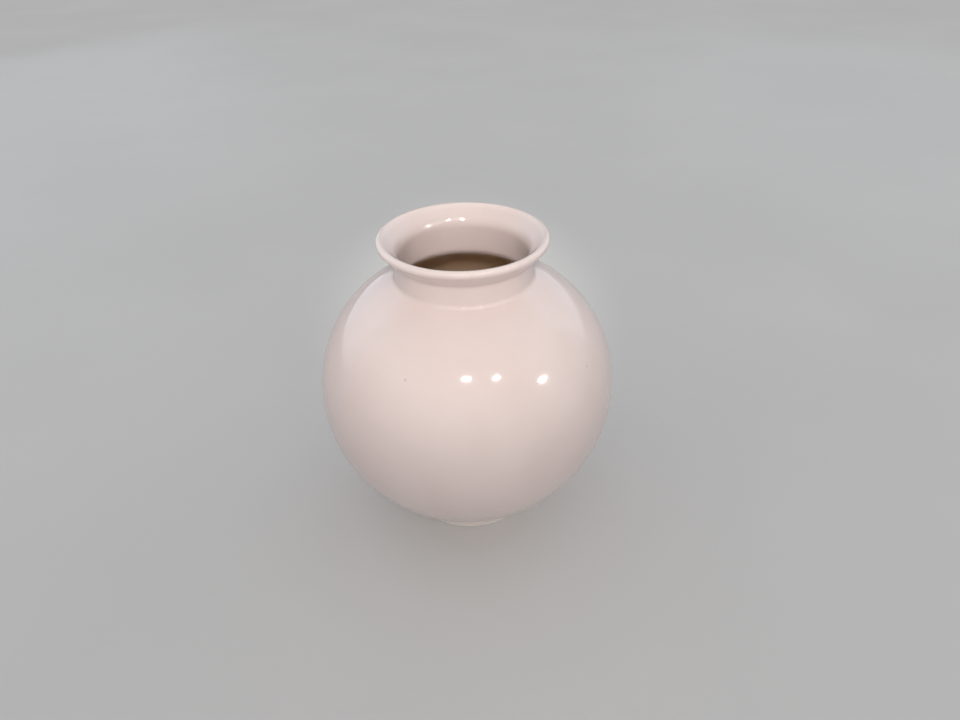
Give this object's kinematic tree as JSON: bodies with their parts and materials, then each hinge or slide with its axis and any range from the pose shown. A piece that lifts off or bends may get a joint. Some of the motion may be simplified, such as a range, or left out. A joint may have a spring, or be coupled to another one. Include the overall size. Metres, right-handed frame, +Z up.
{
  "type": "globe vase",
  "caption": "Glazed porcelain vase with a round hollow body, a short neck with a flared round-edged lip, and a low foot ring.",
  "frame": {"origin": "centre of the foot ring's resting edge, on the surface the vase stands on", "axes": "+Z up along the vase's axis of revolution, out through the mouth; +X and +Y are any two square directions"},
  "size_m": [0.15, 0.15, 0.1585],
  "materials": {
    "clay": "matte fired porcelain, unglazed",
    "white_glaze": "clear gloss glaze over white porcelain",
    "tan_glaze": "satin tan glaze"
  },
  "bodies": {
    "root": {"foot_ring": "clay", "base_floor": "clay", "lower_bowl": "clay", "upper_bowl": "clay", "neck_collar": "clay", "flared_lip": "clay", "outer_glaze": "white_glaze", "inner_glaze": "tan_glaze", "base_glaze": "white_glaze"}
  },
  "joints": []
}
